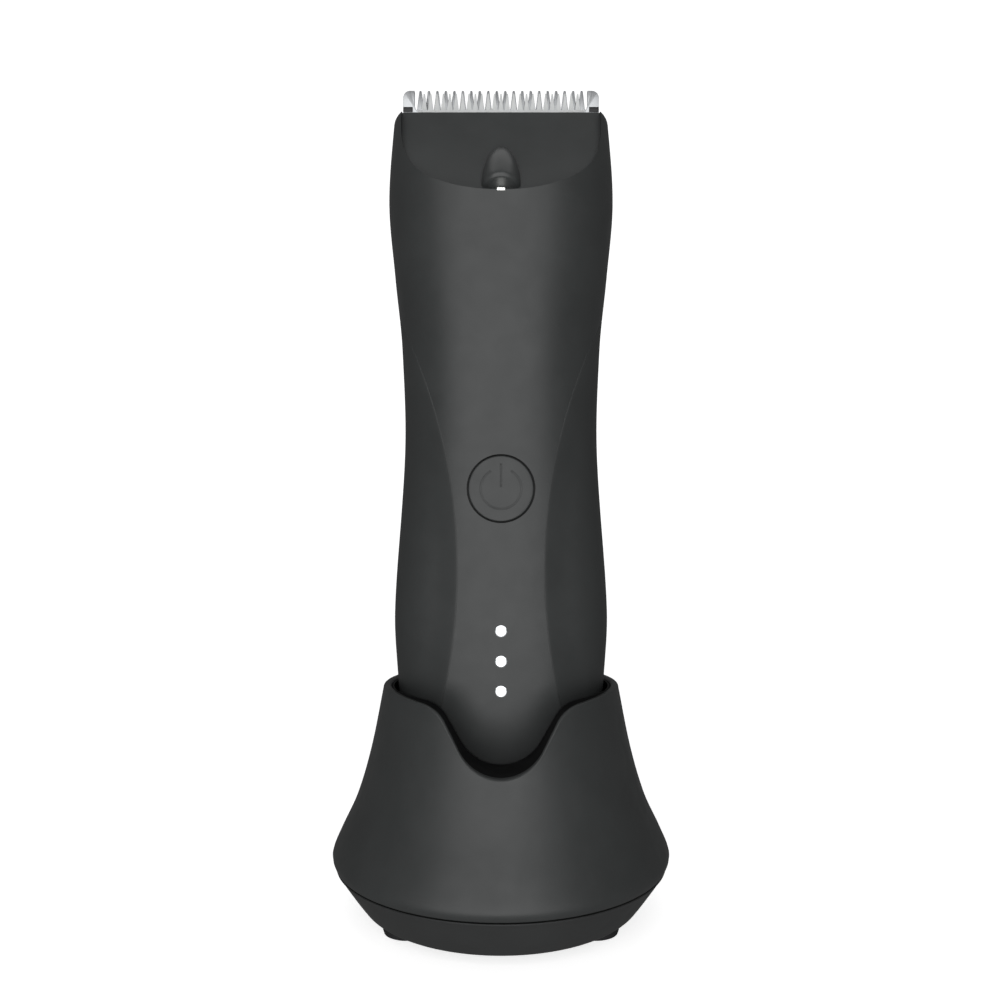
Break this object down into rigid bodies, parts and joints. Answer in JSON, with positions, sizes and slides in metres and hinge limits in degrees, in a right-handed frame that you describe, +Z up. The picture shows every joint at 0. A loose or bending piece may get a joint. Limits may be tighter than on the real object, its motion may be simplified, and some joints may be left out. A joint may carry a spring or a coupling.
{
  "type": "body groomer",
  "caption": "Cordless body groomer with a snap-off blade head, standing in a round flared charging stand with spring contacts.",
  "frame": {"origin": "centre of the charging stand on the plane of its rubber feet", "axes": "+Z up along the docked trimmer, -Y towards the side with the power button, +X to that side's right"},
  "size_m": [0.0662, 0.0662, 0.1631],
  "materials": {
    "stand_plastic": "fine soft-touch texture",
    "base_plastic": "fine soft-touch texture",
    "liner_plastic": "satin black",
    "foot_rubber": "matt",
    "screw_steel": "zinc plated",
    "ballast_iron": "rough",
    "circuit_board": "solder mask",
    "connector_steel": "satin",
    "black_plastic": "satin",
    "spring_steel": "bright",
    "gold_contact": "gold flash",
    "shell_plastic": "soft-touch coating",
    "grip_rubber": "soft matt",
    "frame_plastic": "moulded",
    "battery_wrap": "shrink wrap",
    "foam": "open cell",
    "button_plastic": "soft-touch coating",
    "seal_rubber": "matt black",
    "indicator_white": "lit white",
    "lamp_plastic": "satin gloss",
    "lamp_white": "lit white",
    "motor_steel": "deep drawn",
    "shaft_steel": "ground",
    "comb_steel": "ground stainless",
    "blade_ceramic": "ground zirconia"
  },
  "bodies": {
    "stand": {"stand_shell": "stand_plastic", "stand_base": "base_plastic", "pocket_liner": "liner_plastic", "stand_feet": "foot_rubber", "stand_screws": "screw_steel", "ballast_ring": "ballast_iron", "stand_board": "circuit_board", "charge_socket": "connector_steel", "contact_block": "black_plastic", "left_pin_spring": "spring_steel", "right_pin_spring": "spring_steel"},
    "left_charge_pin": {"left_charge_pin": "gold_contact"},
    "right_charge_pin": {"right_charge_pin": "gold_contact"},
    "trimmer": {"front_shell": "shell_plastic", "rear_shell": "shell_plastic", "left_grip": "grip_rubber", "right_grip": "grip_rubber", "end_cap": "base_plastic", "charge_pads": "gold_contact", "shell_screws": "screw_steel", "chassis": "frame_plastic", "battery": "battery_wrap", "battery_foam": "foam", "main_board": "circuit_board", "tact_switch": "connector_steel", "button_seal": "seal_rubber", "indicator_lights": "indicator_white", "lamp_hood": "lamp_plastic", "lamp_lens": "lamp_white", "lamp_led": "lamp_white", "motor": "motor_steel", "motor_holder": "frame_plastic", "holder_screws": "screw_steel"},
    "button": {"power_button": "button_plastic", "switch_plunger": "black_plastic"},
    "motor_shaft": {"eccentric": "shaft_steel"},
    "blade_module": {"blade_carrier": "black_plastic", "fixed_comb": "comb_steel", "blade_spring": "spring_steel", "blade_screws": "screw_steel"},
    "cutter": {"moving_blade": "blade_ceramic", "drive_fork": "black_plastic"}
  },
  "joints": [
    {"name": "trimmer_lift", "type": "slide", "parent": "stand", "child": "trimmer", "axis": [0, 0, 1], "range_m": [0, 0.045]},
    {"name": "button_press", "type": "slide", "parent": "trimmer", "child": "button", "axis": [0, 1, 0], "range_m": [0, 0.0005], "stiffness_N_per_m": 900},
    {"name": "shaft_spin", "type": "hinge", "parent": "trimmer", "child": "motor_shaft", "pos_m": [0, -0.0041, 0.131], "axis": [0, 0, 1], "continuous": true},
    {"name": "module_lift", "type": "slide", "parent": "trimmer", "child": "blade_module", "axis": [0, 0.4586, 0.8886], "range_m": [0, 0.025]},
    {"name": "cutter_slide", "type": "slide", "parent": "blade_module", "child": "cutter", "axis": [1, 0, 0], "range_m": [-0.0009, 0.0009]},
    {"name": "left_pin_travel", "type": "slide", "parent": "stand", "child": "left_charge_pin", "axis": [0, 0, -1], "range_m": [0, 0.0006], "stiffness_N_per_m": 300, "deforming": ["left_pin_spring"]},
    {"name": "right_pin_travel", "type": "slide", "parent": "stand", "child": "right_charge_pin", "axis": [0, 0, -1], "range_m": [0, 0.0006], "stiffness_N_per_m": 300, "deforming": ["right_pin_spring"]}
  ]
}
